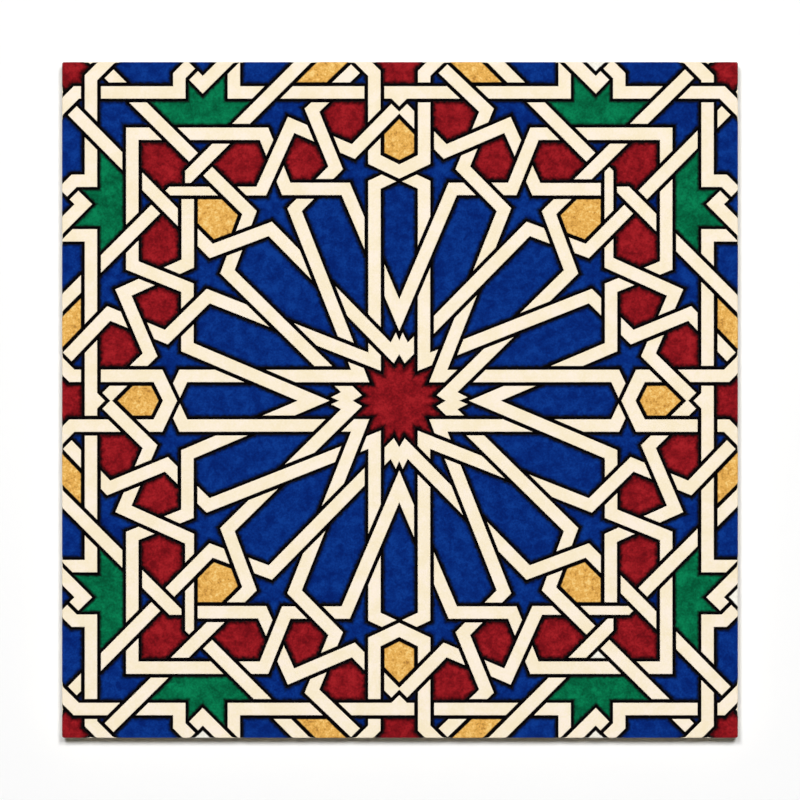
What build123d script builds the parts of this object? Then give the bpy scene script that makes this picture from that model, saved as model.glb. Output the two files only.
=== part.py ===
import os

from build123d import *

# Star pattern tile: one dust-pressed, glazed ceramic slab, lying face up on its keyed back.
# The face is a true square with tight corners. Under its softened arris runs a straight rim,
# which is what meets a spacer or a grout joint. Below the rim the sides lean in to the back,
# as the die needs to let the pressed clay go. The back is a grid of flat ribs round shallow
# pockets with sloped walls, which the adhesive keys into, inside a plain border.
#
# Frame, in millimetres: the origin is the centre of the back, in the plane of its ribs.
# +Z points out of the glazed face, and +Y to the top of the pattern.

# Body
tile_side = 152.4  # edge to edge across the face
tile_thickness = 6.4  # from the ribs of the back to the glazed face
corner_radius = 0.5  # of the square, seen from the front
arris_radius = 0.3  # where the glaze rolls over the edge of the face
arris_limit = 0.8  # of the corner radius, which the arris must stay under
rim_depth = 2.6  # from the face down to where the draft begins
side_setback = 0.7  # how far the edge of the back lies inside the edge of the face
heel_chamfer = 0.4  # round the back, which keeps its edge from chipping

# Keyed back
back_border = 6.0  # plain band between the edge of the back and the first pockets
pockets_across = 6  # in each direction, even, so that two ribs cross at the centre
rib_width = 3.2  # flat land between two pockets
pocket_depth = 0.9
pocket_corner_radius = 1.6
pocket_draft = 35.0  # degrees that a pocket's wall leans in from its mouth to its floor

# The back's own square, and the pockets that its border leaves room for
back_side = tile_side - 2 * side_setback
keyed_side = back_side - 2 * back_border
pocket_pitch = (keyed_side + rib_width) / pockets_across
pocket_mouth = pocket_pitch - rib_width
slope_height = tile_thickness - rim_depth


with BuildPart() as tile:
    # The straight rim, from the face down
    with BuildSketch(Plane.XY.offset(slope_height)):
        RectangleRounded(tile_side, tile_side, corner_radius)
    extrude(amount=rim_depth)

    # The leaning sides, from the rim's lower edge in to the smaller square of the back
    with BuildSketch(Plane.XY.offset(slope_height)):
        RectangleRounded(tile_side, tile_side, corner_radius)
    with BuildSketch(Plane.XY):
        RectangleRounded(back_side, back_side, corner_radius)
    loft(ruled=True)

    # The glazed arris round the face, and the broken edge round the back
    glazed_face = tile.faces().sort_by(Axis.Z)[-1]
    fillet(glazed_face.edges(), min(arris_radius, arris_limit * corner_radius))
    back_face = tile.faces().sort_by(Axis.Z)[0]
    chamfer(back_face.edges(), heel_chamfer)

    # The pockets of the keyed back
    with BuildSketch(Plane.XY):
        with GridLocations(pocket_pitch, pocket_pitch, pockets_across, pockets_across):
            RectangleRounded(pocket_mouth, pocket_mouth, pocket_corner_radius)
    extrude(amount=pocket_depth, taper=pocket_draft, mode=Mode.SUBTRACT)

tile.part.label = "tile"

os.makedirs("parts", exist_ok=True)
export_step(tile.part, "parts/tile.step")
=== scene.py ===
import math

import bmesh
import bpy
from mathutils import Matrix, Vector
from mathutils.bvhtree import BVHTree
from mathutils.geometry import delaunay_2d_cdt


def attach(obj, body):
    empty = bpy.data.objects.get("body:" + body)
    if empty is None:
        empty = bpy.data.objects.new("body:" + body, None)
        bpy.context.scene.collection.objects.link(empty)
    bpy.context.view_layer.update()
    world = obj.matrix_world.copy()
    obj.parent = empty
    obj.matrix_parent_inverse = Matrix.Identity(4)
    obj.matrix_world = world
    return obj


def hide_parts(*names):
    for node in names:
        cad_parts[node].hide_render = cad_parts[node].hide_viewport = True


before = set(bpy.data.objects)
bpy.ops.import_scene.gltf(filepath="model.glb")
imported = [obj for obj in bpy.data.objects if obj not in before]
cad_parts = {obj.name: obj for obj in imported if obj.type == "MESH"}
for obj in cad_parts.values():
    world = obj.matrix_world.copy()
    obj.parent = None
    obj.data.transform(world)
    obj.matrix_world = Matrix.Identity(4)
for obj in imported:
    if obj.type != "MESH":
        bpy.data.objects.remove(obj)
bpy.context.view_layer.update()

# Star pattern tile, glazed in the dry cord way: black lines are drawn on the fired clay first, and
# each coloured glaze fills its own cell between them, so it stands a little proud of the line.
# The tile is worked out in millimetres and turned to metres as each piece is finished. The floor,
# the lamps and the camera are in metres.


# sRGB hex to the linear colour that a shader takes
def hexColour(code):
    parts = [int(code[i:i + 2], 16) / 255 for i in (1, 3, 5)]
    linear = [c / 12.92 if c <= 0.04045 else ((c + 0.055) / 1.055) ** 2.4 for c in parts]
    return (*linear, 1)


def addNode(tree, kind, inputs=None, **settings):
    node = tree.nodes.new(kind)
    for name, value in settings.items():
        setattr(node, name, value)
    for socket, value in (inputs or {}).items():
        if isinstance(value, bpy.types.NodeSocket):
            tree.links.new(value, node.inputs[socket])
        else:
            node.inputs[socket].default_value = value
    return node


# The weave of straps
weave = {
    "strapWidth": 3.65,  # between the middles of the two black lines that edge a strap
    "edgeZone": 72.0,  # beyond this, the strap that starts at the tile's edge lies on top
    "sheetHalf": 78.5,  # the weave is drawn past the tile's edge and trimmed there later
    "shift": (-0.17, -0.17),  # how far off the tile's centre the pattern was laid
    "crossingReach": 11,  # how far from a crossing its over or under still holds
}

# Centre lines of the straps in one eighth of the tile, from the left axis or the edge inwards.
# Each one is mirrored in that axis and turned four times. They pass over and under by turns,
# and "over" says which comes first. "loop" straps join their own copies at the diagonals.
# Where two only touch, or meet at the tile's edge, the one that is higher in this list is on top.
straps = [
    {"name": "sideGate", "over": True, "loop": True,
     "line": [(-51.63, 0), (-54.28, 5.61), (-73.82, 5.62), (-79.0, 10.87)]},
    {"name": "cornerHook", "over": True, "loop": False,
     "line": [(-62.5, 79.82), (-69.51, 72.81), (-69.51, 49.59), (-73.29, 49.59), (-79.0, 43.88)]},
    {"name": "edgeVee", "over": True, "loop": True,
     "line": [(-79.0, 36.52), (-71.23, 44.31), (-74.95, 47.92)]},
    {"name": "borderRail", "over": True, "loop": True,
     "line": [(-69.51, 0), (-69.51, 37.29), (-79.0, 37.29)]},
    {"name": "squareFrame", "over": True, "loop": True,
     "line": [(-19.31, 0), (-47.76, 12.07), (-47.76, 25.48), (-60.19, 30.49), (-60.19, 60.19)]},
    {"name": "longVee", "over": False, "loop": False,
     "line": [(-9.18, 0), (-38.74, 29.07), (-33.76, 42.40), (-71.6, 79.8)]},
    {"name": "zigzag", "over": False, "loop": True,
     "line": [(-66.74, 0), (-56.19, 10.35), (-62.19, 24.40), (-47.69, 30.92), (-47.69, 47.69)]},
    {"name": "petal", "over": False, "loop": False,
     "line": [(-51.29, 0), (-48.69, 5.60), (-8.80, 5.56), (-23.60, 43.09), (-14.34, 52.51),
              (-19.67, 65.50), (-4.5, 80.0)]},
    {"name": "cornerRay", "over": False, "loop": True,
     "line": [(-49.05, 49.05), (-79.0, 19.10)]},
]

# Places where the pattern departs from a plain weave, repeated by quarter turns: an outline,
# what it becomes, and what it takes the place of
patches = [
    {"becomes": "borderRail", "takes": ("zigzag", "field"),  # tooth on the middle of each rail
     "outline": [(-68.26, 2.5), (-68.26, -2.5), (-65.76, 0)]},
    {"becomes": "longVee", "takes": ("field",),  # two peaks beside the point of each long V
     "outline": [(-11.0, 0), (-12.82, 2.55), (-17.84, 0), (-12.82, -2.55)]},
    {"becomes": "field", "takes": ("longVee",),  # ray of the red star between the two points
     "outline": [(-9.65, 0), (-6.4, 1.9), (-6.4, -1.9)]},
    {"becomes": "bar", "takes": ("zigzag", "cornerRay", "field"),  # bar across each diagonal
     "outline": [(-38.0, 45.87), (-38.0, 48.69), (-52.01, 48.69), (-54.83, 45.87)]},
    {"becomes": "field", "takes": ("zigzag",),  # what the bar is narrower by
     "outline": [(-48.7, 48.69), (-32.47, 48.69), (-32.1, 49.6), (-48.7, 49.6)]},
    {"becomes": "field", "takes": ("zigzag", "cornerRay"),  # lower corner of the corner hexagon
     "outline": [(-48.7, 48.69), (-48.7, 53.5), (-53.5, 53.5), (-53.5, 48.69)]},
    {"becomes": "cornerRay", "takes": ("field",),  # end of the ray that stops at the bar
     "outline": [(-48.7, 48.69), (-46.83, 48.69), (-45.5, 50.02), (-48.7, 50.02)]},
    {"becomes": "field", "takes": ("cornerRay",),  # dark corner under the bar
     "outline": [(-54.81, 45.87), (-49.0, 40.06), (-49.0, 45.87)]},
    {"becomes": "field", "takes": ("cornerHook",), "bothWays": True,  # square end by the edge
     "outline": [(-72.9, 43.45), (-77.28, 47.83), (-77.28, 39.0), (-74.0, 39.0)]},
    {"becomes": "sideGate", "takes": ("field",), "bothWays": True,  # what the gate's V is wider by
     "outline": [(-53.3, 0), (-53.75, 0), (-55.64, 3.79), (-55.2, 3.79)]},
]

# Colours of the fields by a point inside each, in one eighth of the tile. Every other field is
# cobalt, but for the few in the whole tile that were left pale.
fieldSeeds = [
    {"glaze": "red", "points": [(-73.3, 73.3), (-53.7, 53.7), (-54.1, 38), (-54.1, 21),
                                (-63.8, 11.3), (-74.4, 1), (0, 0)]},
    {"glaze": "green", "points": [(-64.7, 45)]},
    {"glaze": "gold", "points": [(-42.4, 42.4), (-74.4, 17), (-58.6, 1.5)]},
    {"glaze": "pale", "once": True, "points": [(44.6, -57.5), (-44.2, -75.5), (44.2, -75.5),
                                               (75.5, -44.2), (44.2, 75.5)]},
]


def turned(point, turns, flip=1):
    x, y = point[0], point[1] * flip
    for _ in range(turns % 4):
        x, y = -y, x
    return (x, y)


# The point at that distance left of both runs that meet at a corner, or at an end
def cornerOffset(before, here, after, distance):
    runs = [(b - a).normalized() for a, b in ((before, here), (here, after))
            if (b - a).length > 1e-9]
    normals = [Vector((-run.y, run.x)) for run in runs]
    middle = sum(normals, Vector((0, 0))).normalized()
    return here + middle * (distance / middle.dot(normals[0]))


# Every copy of every strap, as points with its mitred left and right edges
def strapCopies():
    copies = []
    half = weave["strapWidth"] / 2
    for strap in straps:
        for turns in range(4):
            for flip in (1, -1):
                line = [Vector(turned(p, turns, flip)) for p in strap["line"]]
                start, end = strap["line"][0], strap["line"][-1]
                before, after = line[0], line[-1]
                second, lastButOne = strap["line"][1], strap["line"][-2]
                if abs(start[1]) < 1e-6:  # goes on, mirrored in the axis
                    before = Vector(turned((second[0], -second[1]), turns, flip))
                if abs(start[0] + start[1]) < 1e-6:  # goes on, mirrored in the diagonal
                    before = Vector(turned((-second[1], -second[0]), turns, flip))
                if abs(end[0] + end[1]) < 1e-6:
                    after = Vector(turned((-lastButOne[1], -lastButOne[0]), turns, flip))
                path = [before, *line, after]
                left = [cornerOffset(*path[i:i + 3], half) for i in range(len(line))]
                right = [cornerOffset(*path[i:i + 3], -half) for i in range(len(line))]
                copies.append({"name": strap["name"], "rank": straps.index(strap), "flip": flip,
                               "over": strap["over"], "line": line, "left": left, "right": right,
                               "owner": (strap["name"], 0 if strap["loop"] else turns)})
    return copies


# Where two runs cross, with how far along the first it is, or nothing
def crossPoint(a, b, c, d):
    along, across = b - a, d - c
    turn = along.x * across.y - along.y * across.x
    if abs(turn) < 1e-9:
        return None
    gap = c - a
    s = (gap.x * across.y - gap.y * across.x) / turn
    t = (gap.x * along.y - gap.y * along.x) / turn
    return (a + along * s, s) if 1e-6 < s < 1 - 1e-6 and 1e-6 < t < 1 - 1e-6 else None


# For each strap copy, which others it passes over, and where
def findCrossings(copies):
    passes = {}
    for i, strap in enumerate(copies):
        met = []
        for j, other in enumerate(copies):
            if i == j:
                continue
            for m, (a, b) in enumerate(zip(strap["line"], strap["line"][1:])):
                for c, d in zip(other["line"], other["line"][1:]):
                    hit = crossPoint(a, b, c, d)
                    if hit and max(abs(hit[0].x), abs(hit[0].y)) < weave["edgeZone"]:
                        met.append((m + hit[1], j, hit[0]))
        met.sort(key=lambda entry: entry[0])
        for count, (_, j, point) in enumerate(met):
            first = strap["over"] == (strap["flip"] == 1)
            passes.setdefault((i, j), []).append((point, first == (count % 2 == 0)))
    return passes


def liesOver(copies, passes, i, j, point):
    near = [p for p in passes.get((i, j), []) if (p[0] - point).length < weave["crossingReach"]]
    if near and max(abs(point.x), abs(point.y)) < weave["edgeZone"] + 1.0:
        return min(near, key=lambda p: (p[0] - point).length)[1]
    return copies[i]["rank"] < copies[j]["rank"]


def counterClockwise(outline):
    area = sum(a[0] * b[1] - b[0] * a[1] for a, b in zip(outline, outline[1:] + outline[:1]))
    return outline if area > 0 else outline[::-1]


# Whether a convex outline, counter-clockwise, has the point in it
def holds(outline, point):
    return all((b[0] - a[0]) * (point.y - a[1]) >= (b[1] - a[1]) * (point.x - a[0])
               for a, b in zip(outline, outline[1:] + outline[:1]))


# Cuts the plane along all the outlines: a bmesh of triangles, and which outlines each is in
def planarCells(outlines):
    outlines = [counterClockwise([tuple(p)[:2] for p in outline]) for outline in outlines]
    points, sides = [], []
    for outline in outlines:
        first, count = len(points), len(outline)
        sides += [(first + k, first + (k + 1) % count) for k in range(count)]
        points += [Vector(p) for p in outline]
    corners, _, triangles = delaunay_2d_cdt(points, sides, [], 0, 0.01, False)[:3]
    cells = bmesh.new()
    cells.faces.layers.int.new("owner")
    verts = [cells.verts.new((p.x, p.y, 0)) for p in corners]
    faces, inside = [], []
    for triangle in triangles:
        faces.append(cells.faces.new([verts[k] for k in triangle]))
        middle = faces[-1].calc_center_median()
        inside.append([k for k, outline in enumerate(outlines) if holds(outline, middle)])
    return cells, faces, inside


# Joins neighbouring triangles of one owner, and gives each joined face with its owner
def joinCells(cells, owners):
    groups = {}
    for face, owner in owners.items():
        groups.setdefault(owner, []).append(face)
    order = sorted(groups, key=str)
    mark = cells.faces.layers.int["owner"]
    for face, owner in owners.items():
        face[mark] = order.index(owner)
    for owner in order:
        bmesh.ops.dissolve_faces(cells, faces=groups[owner], use_verts=False)
    straight = [v for v in cells.verts if len(v.link_edges) == 2 and v.calc_edge_angle(0) < 0.02]
    bmesh.ops.dissolve_verts(cells, verts=straight)
    return {face: order[face[mark]] for face in cells.faces}


def weavePattern():
    copies = strapCopies()
    passes = findCrossings(copies)
    outlines, meaning = [], []
    for i, strap in enumerate(copies):
        for k in range(len(strap["line"]) - 1):
            outlines.append([strap["left"][k], strap["left"][k + 1],
                             strap["right"][k + 1], strap["right"][k]])
            meaning.append(("strap", i))
    for number, patch in enumerate(patches):
        for turns in range(4):
            for flip in (1, -1) if patch.get("bothWays") else (1,):
                outlines.append([turned(p, turns, flip) for p in patch["outline"]])
                meaning.append(("patch", number, turns))
    s = weave["sheetHalf"]
    outlines.append([(-s, -s), (s, -s), (s, s), (-s, s)])
    meaning.append(("sheet",))
    cells, triangles, inside = planarCells(outlines)

    owners = {}
    for face, found in zip(triangles, inside):
        here = face.calc_center_median().to_2d()
        facts = [meaning[k] for k in found]
        if max(abs(here.x), abs(here.y)) > s:
            continue
        inStraps = sorted({fact[1] for fact in facts if fact[0] == "strap"})
        owner = "field"
        for i in inStraps:
            if all(liesOver(copies, passes, i, j, here) for j in inStraps if j != i):
                owner = copies[i]["owner"]
        for fact in facts:
            if fact[0] != "patch":
                continue
            patch = patches[fact[1]]
            kind = owner if owner == "field" else owner[0]
            if kind in patch["takes"]:
                new = patch["becomes"]
                quarter = fact[2] if new == "longVee" else 0
                owner = "field" if new == "field" else (new, quarter)
        owners[face] = owner
    spare = [face for face in triangles if face not in owners]
    bmesh.ops.delete(cells, geom=spare, context="FACES_ONLY")
    joined = joinCells(cells, owners)

    # colour the fields by the seed that lies in each
    cells.faces.ensure_lookup_table()
    finder = BVHTree.FromBMesh(cells)
    glazeOf = {face: ("ivory" if owner != "field" else "cobalt") for face, owner in joined.items()}
    for seed in fieldSeeds:
        for point in seed["points"]:
            for turns in (0,) if seed.get("once") else range(4):
                for flip in (1,) if seed.get("once") else (1, -1):
                    x, y = turned(point, turns, flip)
                    index = finder.ray_cast(Vector((x, y, 5)), Vector((0, 0, -1)))[2]
                    if index is None or glazeOf[cells.faces[index]] == "ivory":
                        print("seed in no field:", seed["glaze"], point)
                        continue
                    glazeOf[cells.faces[index]] = seed["glaze"]
    return cells, glazeOf


cells, glazeOf = weavePattern()
print("weave drawn:", len(cells.faces), "cells")

# Glaze layers
glazing = {
    "tileHalf": 76.2,
    "faceHeight": 6.4,
    "arris": 0.3,  # radius at which the glaze rolls over the edge
    "cornerRadius": 0.5,
    "overSide": 0.45,  # how far down the rim the glaze runs
    "lineLevel": -0.09,  # the black line, below the tops of the colours
    "footLevel": -0.12,  # where a colour ends, sunk in the black
    "steps": ((0, -0.09), (0.05, -0.035), (0.14, 0), (0.3, 0), (0.5, 0), (0.75, 0), (1.05, 0)),
    # how far in from a colour's edge, with the level of the glaze there
    "pinchGap": 0.01,  # that parts two lobes of a pad where they touch
    "weld": 5e-4,  # points nearer than this are one
}


# The points or the edges of what an operator gives back
def only(kind, geom):
    return [item for item in geom if isinstance(item, kind)]


# How many times some directed sides go round a point, counter-clockwise
def turnsRound(sides, point):
    turns = 0
    for a, b in sides:
        left = (b.x - a.x) * (point.y - a.y) - (b.y - a.y) * (point.x - a.x)
        if a.y <= point.y < b.y and left > 0:
            turns += 1
        elif b.y <= point.y < a.y and left < 0:
            turns -= 1
    return turns


# The sides of what is left of a cell when its outline moves in, also where it pinches off
def movedIn(outline, distance):
    path = []
    count = len(outline)
    for k, here in enumerate(outline):
        before, after = outline[k - 1], outline[(k + 1) % count]
        out, on = ((q - p).normalized() for p, q in ((before, here), (here, after)))
        leftOf = [here + Vector((-run.y, run.x)) * distance for run in (out, on)]
        if out.cross(on) > 0:  # a corner that points outwards
            path += [leftOf[0], here, leftOf[1]]
        elif out.dot(on) > -0.9:
            path.append(cornerOffset(before, here, after, distance))
        else:
            path += leftOf
    links = [(k, (k + 1) % len(path)) for k in range(len(path))]
    sides = [(path[i], path[j]) for i, j in links]
    corners, _, triangles = delaunay_2d_cdt(path, links, [], 0, 1e-4, False)[:3]
    rim = set()
    for triangle in triangles:
        middle = sum((corners[k] for k in triangle), Vector((0, 0))) / 3
        if turnsRound(sides, middle) < 1:
            continue
        for side in zip(triangle, (*triangle[1:], triangle[0])):
            if side[::-1] in rim:
                rim.remove(side[::-1])
            else:
                rim.add(side)
    return [(corners[i], corners[j]) for i, j in sorted(rim)]


# Lays a point of the flat sheet on the tile: over the face, its arris and down the rim
def wrapOverArris(co):
    g = glazing
    core = g["tileHalf"] - g["cornerRadius"]
    base = Vector((max(-core, min(core, co.x)), max(-core, min(core, co.y))))
    out = co.to_2d() - base
    flat = g["cornerRadius"] - g["arris"]
    reach = out.length
    if reach <= flat:
        return Vector((co.x, co.y, g["faceHeight"] + co.z))
    angle = min((reach - flat) / g["arris"], math.pi / 2)
    down = min(max(reach - flat - g["arris"] * math.pi / 2, 0), g["overSide"])
    radius = g["arris"] + co.z
    side = base + out.normalized() * (flat + radius * math.sin(angle))
    height = g["faceHeight"] - g["arris"] + radius * math.cos(angle) - down
    return Vector((side.x, side.y, height))


# Cuts closed flat pads where they bend over the arris, and ends them where the glaze does
def trimAtRim(bm):
    g = glazing
    bend = g["tileHalf"] - g["arris"]
    stops = [bend + g["arris"] * math.radians(a) for a in (0, 30, 60, 90)]
    end = stops[-1] + g["overSide"]
    for axis in ((1, 0, 0), (-1, 0, 0), (0, 1, 0), (0, -1, 0)):
        for stop in [*stops, end]:
            cut = bmesh.ops.bisect_plane(bm, geom=[*bm.verts, *bm.edges, *bm.faces], dist=1e-5,
                                         plane_co=Vector(axis) * stop, plane_no=axis,
                                         clear_outer=stop == end)["geom_cut"]
        bmesh.ops.edgeloop_fill(bm, edges=only(bmesh.types.BMEdge, cut))


def layOnTile(bm):
    trimAtRim(bm)
    for v in bm.verts:
        v.co = wrapOverArris(v.co)
    bmesh.ops.remove_doubles(bm, verts=bm.verts, dist=glazing["weld"])


def finishPiece(name, bm, material):
    bmesh.ops.recalc_face_normals(bm, faces=bm.faces)
    bmesh.ops.scale(bm, verts=bm.verts, vec=(0.001, 0.001, 0.001))
    mesh = bpy.data.meshes.new(name)
    bm.to_mesh(mesh)
    bm.free()
    piece = bpy.data.objects.new(name, mesh)
    bpy.context.scene.collection.objects.link(piece)
    mesh.materials.append(material)
    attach(piece, "root")
    return piece


# The top of one pad of glaze: its outline, stepped in and up
def addPad(bm, outline, start, fromLine):
    rings = [(step, movedIn(outline, start + step[0])) for step in glazing["steps"]]
    rim = rings[0][1]
    if not rim:
        return
    points = [point for _, ring in rings for side in ring for point in side]
    steps = [step for step, ring in rings for side in ring for _ in side]
    links = [(k, k + 1) for k in range(0, len(points), 2)]
    corners, _, triangles, origins = delaunay_2d_cdt(points, links, [], 0, 1e-4, True)[:4]
    verts = {}
    for triangle in triangles:
        middle = sum((corners[k] for k in triangle), Vector((0, 0))) / 3
        if turnsRound(rim, middle) < 1:
            continue
        for k in triangle:
            if k not in verts:
                inwards, level = steps[min(origins[k], default=0)]
                verts[k] = bm.verts.new((corners[k].x, corners[k].y, level))
                verts[k][fromLine] = inwards
        bm.faces.new([verts[k] for k in triangle])


# Parts a pad where two of its lobes only touch at a point
def partPinches(bm):
    for v in [v for v in bm.verts if sum(e.is_boundary for e in v.link_edges) > 2]:
        for lobe in bmesh.utils.vert_separate(v, [e for e in v.link_edges if e.is_boundary]):
            middles = [f.calc_center_median() for f in lobe.link_faces]
            middle = sum(middles, Vector()) / len(middles)
            lobe.co += (middle - lobe.co).normalized() * glazing["pinchGap"]


# All the cells of one colour
def glazePiece(name, glaze, material, start):
    bm = bmesh.new()
    fromLine = bm.verts.layers.float.new("fromLine")
    shift = Vector(weave["shift"])
    for face in (f for f, colour in glazeOf.items() if colour == glaze):
        outline = [v.co.to_2d() + shift for v in face.verts]
        addPad(bm, outline if face.normal.z > 0 else outline[::-1], start, fromLine)
    partPinches(bm)
    rim = [e for e in bm.edges if e.is_boundary]
    grown = bmesh.ops.extrude_edge_only(bm, edges=rim)["geom"]
    for v in only(bmesh.types.BMVert, grown):
        v.co.z = glazing["footLevel"]
    foot = [e for e in only(bmesh.types.BMEdge, grown) if e.is_boundary]
    bmesh.ops.edgeloop_fill(bm, edges=foot)
    layOnTile(bm)
    return finishPiece(name, bm, material)


# Materials
glazeLook = {
    "speckSize": 0.45,  # millimetres, of the unmelted specks
    "creepSize": 0.8,  # millimetres, of the lobes in which the black runs into a colour
    "black": "#040305",
    "specular": 0.25,  # satin
    "wavesPerMetre": 350,
}


# A glaze that lies in soft clouds, with "shades" by their place in the cloud, darkest first.
# "fade" is how far the black of the line has run into it, in millimetres, and "grain" how much
# the fine specks of unmelted colour show against the clouds.
def glazeMaterial(name, cloudSize, shades, fade=None, roughness=0.45, waves=0.02, grain=0.4):
    material = bpy.data.materials.new(name)
    material.use_nodes = True
    tree = material.node_tree
    look = glazeLook
    shader = tree.nodes["Principled BSDF"]
    shader.inputs["Roughness"].default_value = roughness
    shader.inputs["Specular IOR Level"].default_value = look["specular"]
    place = addNode(tree, "ShaderNodeTexCoord").outputs["Object"]
    cloud = addNode(tree, "ShaderNodeTexNoise", {"Vector": place, "Scale": 1000 / cloudSize,
                                                 "Detail": 5.0, "Roughness": 0.68,
                                                 "Distortion": 0.4}).outputs["Fac"]
    specks = addNode(tree, "ShaderNodeTexNoise", {"Vector": place, "Detail": 1.0,
                                                  "Scale": 1000 / look["speckSize"]}).outputs["Fac"]
    mixed = addNode(tree, "ShaderNodeMath", {0: specks, 1: grain, 2: cloud},
                    operation="MULTIPLY_ADD")
    ramp = addNode(tree, "ShaderNodeValToRGB", {"Fac": mixed.outputs[0]})
    stops = ramp.color_ramp.elements
    while len(stops) < len(shades):
        stops.new(0.5)
    for stop, (position, code) in zip(stops, shades):
        stop.position = position + grain / 2
        stop.color = hexColour(code)
    colour = ramp.outputs["Color"]
    if fade:
        edge = addNode(tree, "ShaderNodeAttribute", attribute_name="fromLine").outputs["Fac"]
        creepScale = 1000 / look["creepSize"]
        creep = addNode(tree, "ShaderNodeTexNoise", {"Vector": place, "Detail": 2.0,
                                                     "Scale": creepScale}).outputs["Fac"]
        uneven = addNode(tree, "ShaderNodeMath", {0: creep, 1: fade, 2: edge},
                         operation="MULTIPLY_ADD").outputs[0]
        soft = addNode(tree, "ShaderNodeMapRange", {"Value": uneven, "From Min": 0.5 * fade - 0.05,
                                                    "From Max": 1.5 * fade},
                       interpolation_type="SMOOTHSTEP").outputs["Result"]
        colour = addNode(tree, "ShaderNodeMix", {0: soft, 6: hexColour(look["black"]), 7: colour},
                         data_type="RGBA").outputs[2]
    tree.links.new(colour, shader.inputs["Base Color"])
    wave = addNode(tree, "ShaderNodeTexNoise", {"Vector": place, "Detail": 1.0,
                                                "Scale": look["wavesPerMetre"]})
    bump = addNode(tree, "ShaderNodeBump", {"Height": wave.outputs["Fac"], "Strength": 0.3,
                                            "Distance": waves / 1000})
    tree.links.new(bump.outputs["Normal"], shader.inputs["Normal"])
    return material


# Each glaze: its slot, how far from the middle of a line it starts, and its material
glazes = {
    # opaque and creamy, a little yellower in some places and whiter in others
    "ivory": ("ivory_glaze", 0.42, glazeMaterial("ivoryTinGlaze", 5.0, (
        (0.36, "#f7e8c8"), (0.5, "#faecd2"), (0.64, "#fdefdd")))),
    # deep blue that breaks to a lighter and a darker one, nearly black by the line
    "cobalt": ("cobalt_glaze", 0.15, glazeMaterial("cobaltGlaze", 2.4, (
        (0.34, "#052068"), (0.5, "#082c7a"), (0.66, "#0e398b")), 0.9)),
    # blood red, cloudier than the blue
    "red": ("red_glaze", 0.15, glazeMaterial("copperRedGlaze", 2.4, (
        (0.34, "#711017"), (0.5, "#8d171e"), (0.66, "#a52127")), 1.2)),
    "green": ("green_glaze", 0.15, glazeMaterial("copperGreenGlaze", 2.6, (
        (0.34, "#045233"), (0.5, "#066a43"), (0.66, "#0a8052")), 0.67)),
    # amber over ivory, blotched tan and light yellow, with hardly any black in it
    "gold": ("gold_glaze", 0.4, glazeMaterial("goldenAmberGlaze", 1.2, (
        (0.3, "#b07c39"), (0.42, "#dba34d"), (0.54, "#ebb45b"), (0.68, "#f8d284")), 0.22)),
    # thin white that leaves the body's colour show
    "pale": ("ivory_glaze", 0.3, glazeMaterial("thinWhiteGlaze", 2.0, (
        (0.4, "#eeeade"), (0.6, "#fbf8ec")), 0.2)),
}
# drawn in manganese and grease, dull and nearly black
lineGlaze = glazeMaterial("manganeseLine", 1.5, ((0.4, "#020102"), (0.6, "#070507")))
lineGlaze.node_tree.nodes["Principled BSDF"].inputs["Specular IOR Level"].default_value = 0.15
# pressed from dust and fired bare: buff, fine in grain and matt
firedClay = glazeMaterial("firedClay", 1.6, (
    (0.35, "#cdbfa0"), (0.5, "#d6c8a9"), (0.65, "#ddd1b5")), roughness=0.85, waves=0.08)

for glaze, (slotName, start, material) in glazes.items():
    piece = glazePiece(glaze + "Glaze", glaze, material, start)
    print(piece.name, len(piece.data.polygons), "faces")

# Black ground
ground = bmesh.new()
bmesh.ops.create_grid(ground, x_segments=1, y_segments=1, size=weave["sheetHalf"])
for v in ground.verts:
    v.co.z = glazing["lineLevel"] - 0.1
grown = bmesh.ops.extrude_face_region(ground, geom=list(ground.faces), use_keep_orig=True)["geom"]
for v in only(bmesh.types.BMVert, grown):
    v.co.z = glazing["lineLevel"]
layOnTile(ground)
finishPiece("blackLines", ground, lineGlaze)

# Clay body
body = {
    # half its width and the height there, from the heel up, drawn in where the glaze covers it
    "profile": ((75.5, 0.4), (76.2, 3.8), (76.2, 5.62), (76.05, 5.66), (76.0, 6.05), (75.8, 6.2)),
    "footHalf": 75.1,
    "heel": 0.4,
    "cornerRadius": 0.5,
    "cornerSteps": 4,
    "border": 6.0,
    "pockets": 6,
    "rib": 3.2,
    "pocketDepth": 0.9,
    "pocketRadius": 1.6,
    "draft": 35.0,
}


def roundedSquare(centre, half, radius, steps):
    points = []
    for quarter in range(4):
        for k in range(steps + 1):
            angle = math.radians(90 * quarter + 90 * k / steps)
            middle = turned((half - radius, half - radius), quarter)
            points.append((centre[0] + middle[0] + radius * math.cos(angle),
                           centre[1] + middle[1] + radius * math.sin(angle)))
    return points


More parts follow.
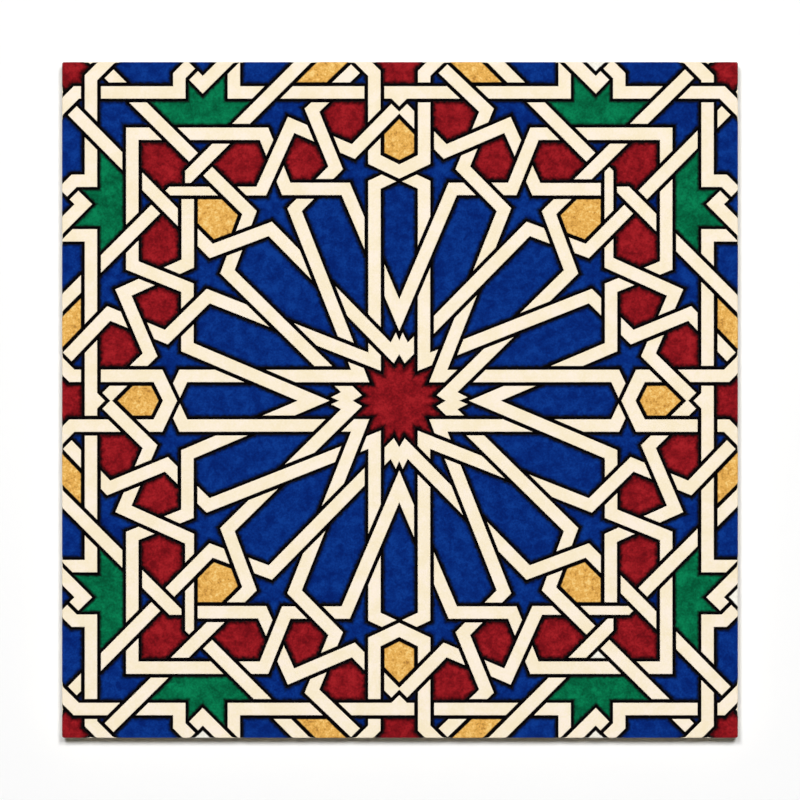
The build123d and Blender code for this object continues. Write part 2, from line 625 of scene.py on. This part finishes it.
def clayBody():
    b = body
    keyed = 2 * (b["footHalf"] + b["heel"] - b["border"])
    pitch = (keyed + b["rib"]) / b["pockets"]
    outlines = [roundedSquare((0, 0), b["footHalf"], b["cornerRadius"], b["cornerSteps"])]
    places = [(k - (b["pockets"] - 1) / 2) * pitch for k in range(b["pockets"])]
    for x in places:
        for y in places:
            outlines.append(roundedSquare((x, y), (pitch - b["rib"]) / 2, b["pocketRadius"], 5))
    cells, triangles, inside = planarCells(outlines)
    pockets = [face for face, found in zip(triangles, inside) if len(found) > 1]
    dissolved = bmesh.ops.dissolve_faces(cells, faces=pockets, use_verts=False)["region"]
    slope = b["pocketDepth"] * math.tan(math.radians(b["draft"]))
    bmesh.ops.inset_individual(cells, faces=dissolved, thickness=slope, use_even_offset=True)
    for face in dissolved:
        for v in face.verts:
            v.co.z = b["pocketDepth"]
    ring = [e for e in cells.edges if e.is_boundary]
    reach = b["footHalf"]
    for half, height in b["profile"]:
        grown = bmesh.ops.extrude_edge_only(cells, edges=ring)["geom"]
        ring = [e for e in only(bmesh.types.BMEdge, grown) if e.is_boundary]
        for v in only(bmesh.types.BMVert, grown):
            v.co = Vector((v.co.x * half / reach, v.co.y * half / reach, height))
        reach = half
    bmesh.ops.edgeloop_fill(cells, edges=ring)
    piece = finishPiece("clayBody", cells, firedClay)
    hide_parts("tile")
    return piece


clayBody()
print("clay body done")

# Floor, light and camera
studio = {
    "frameWidth": 180.36,  # millimetres across the picture, at the tile's face
    "lens": 400,
    "coveRadius": 3.0,  # metres, where the floor turns up into the wall round it
    "coveHeight": 2.4,
    "sky": 0.01,
    "floorNear": 0.96,  # how light the floor's paint is about the tile
    "floorFar": 0.25,  # and where it is white by itself
    "copyLamp": {"out": 0.29, "back": 0.52, "up": 2.38, "width": 0.28, "height": 0.5,
                 "power": 30.7},
    "softbox": {"out": 2.0, "back": 0.5, "up": 1.6, "width": 1.3, "height": 1.3, "power": 1.0},
}

# a pale floor that turns up into a round wall, open above
cove = bmesh.new()
bmesh.ops.create_circle(cove, cap_ends=True, segments=48, radius=studio["coveRadius"])
rim = [e for e in cove.edges if e.is_boundary]
for out, up in ((0.25, 0.05), (0.2, 0.2), (0.05, 0.25), (0, studio["coveHeight"] - 0.5)):
    grown = bmesh.ops.extrude_edge_only(cove, edges=rim)["geom"]
    rim = [e for e in only(bmesh.types.BMEdge, grown) if e.is_boundary]
    for v in only(bmesh.types.BMVert, grown):
        v.co += v.co.to_2d().normalized().to_3d() * out + Vector((0, 0, up))
bmesh.ops.recalc_face_normals(cove, faces=cove.faces)
bmesh.ops.reverse_faces(cove, faces=[f for f in cove.faces if f.normal.z < -0.5])
coveMesh = bpy.data.meshes.new("floor")
cove.to_mesh(coveMesh)
cove.free()
floor = bpy.data.objects.new("floor", coveMesh)
bpy.context.scene.collection.objects.link(floor)

# white paint, lit by the lamps about the tile and white by itself farther off
whitePaint = bpy.data.materials.new("whitePaint")
whitePaint.use_nodes = True
tree = whitePaint.node_tree
paint = tree.nodes["Principled BSDF"]
paint.inputs["Roughness"].default_value = 0.9
paint.inputs["Specular IOR Level"].default_value = 0.0
paint.inputs["Emission Color"].default_value = (1, 1, 1, 1)
rays = addNode(tree, "ShaderNodeLightPath").outputs
seen = addNode(tree, "ShaderNodeMath", {0: rays["Is Camera Ray"], 1: rays["Is Glossy Ray"]},
               operation="MAXIMUM")
seen = addNode(tree, "ShaderNodeMath", {0: seen.outputs[0], 1: rays["Is Transmission Ray"]},
               operation="MAXIMUM")
place = addNode(tree, "ShaderNodeTexCoord").outputs["Object"]
farOff = addNode(tree, "ShaderNodeVectorMath", {0: place}, operation="LENGTH")
farOff = addNode(tree, "ShaderNodeMapRange", {"Value": farOff.outputs["Value"], "From Min": 0.2,
                                              "From Max": 1.0})
lift = addNode(tree, "ShaderNodeMath", {0: seen.outputs[0], 1: farOff.outputs[0]},
               operation="MULTIPLY")
tree.links.new(lift.outputs[0], paint.inputs["Emission Strength"])
shade = addNode(tree, "ShaderNodeMix", {0: farOff.outputs[0], 6: (*[studio["floorNear"]] * 3, 1),
                                        7: (*[studio["floorFar"]] * 3, 1)}, data_type="RGBA")
tree.links.new(shade.outputs[2], paint.inputs["Base Color"])
coveMesh.materials.append(whitePaint)

world = bpy.data.worlds.new("studio")
world.use_nodes = True
bpy.context.scene.world = world
world.node_tree.nodes["Background"].inputs["Color"].default_value = (1, 1, 1, 1)
world.node_tree.nodes["Background"].inputs["Strength"].default_value = studio["sky"]


# A lamp to the left or right of the tile, turned to it
def addLamp(name, kind, sign, polarised=False):
    data = bpy.data.lights.new(name, "AREA")
    data.shape = "RECTANGLE"
    data.size, data.size_y = kind["width"], kind["height"]
    data.energy = kind["power"]
    lamp = bpy.data.objects.new(name, data)
    lamp.location = (sign * kind["out"], kind["back"], kind["up"])
    lamp.rotation_euler = (-lamp.location).to_track_quat("-Z", "Y").to_euler()
    lamp.visible_glossy = not polarised
    bpy.context.scene.collection.objects.link(lamp)


# The pair over the tile shines through polarisers, as when glazed work is copied, so that it
# leaves no glare. It gives the short shadow under the lower edge. The pair at the sides is weak,
# for the gloss that shows from lower down.
for side, sign in (("Left", -1), ("Right", 1)):
    addLamp("copyLamp" + side, studio["copyLamp"], sign, polarised=True)
    addLamp("softbox" + side, studio["softbox"], sign)

cameraData = bpy.data.cameras.new("camera")
cameraData.lens = studio["lens"]
cameraData.sensor_width = 36
camera = bpy.data.objects.new("camera", cameraData)
distance = studio["frameWidth"] / 1000 * studio["lens"] / 36
camera.location = (0, 0, distance + glazing["faceHeight"] / 1000)
bpy.context.scene.collection.objects.link(camera)
bpy.context.scene.camera = camera
bpy.context.scene.view_settings.view_transform = "Standard"
